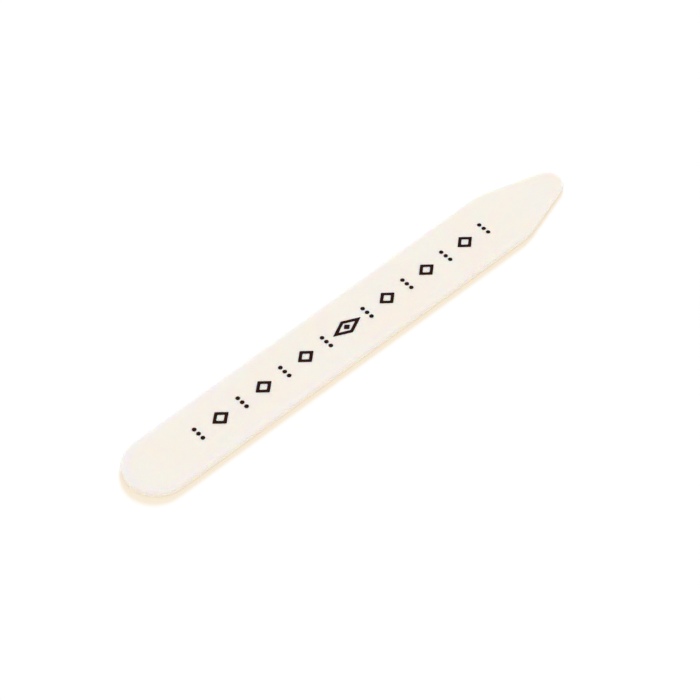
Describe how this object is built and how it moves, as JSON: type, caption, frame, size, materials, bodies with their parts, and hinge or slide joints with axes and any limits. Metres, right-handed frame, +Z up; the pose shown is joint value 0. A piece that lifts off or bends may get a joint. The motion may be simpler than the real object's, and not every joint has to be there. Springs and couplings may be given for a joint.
{
  "type": "collar stay",
  "caption": "Flat plastic stiffener for a shirt collar point, with a round end, straight sides, eased shoulders and a tapered blunt tip.",
  "frame": {"origin": "on the underside, below the middle of the length and of the width", "axes": "+X along the blade towards the tapered tip, +Y across it, +Z up out of the printed face"},
  "size_m": [0.07, 0.0092, 0.0008],
  "materials": {
    "ivory_plastic": "satin, moulded and tumbled",
    "printing_ink": "thin stamped ink"
  },
  "bodies": {
    "root": {"stay": "ivory_plastic"}
  },
  "joints": []
}
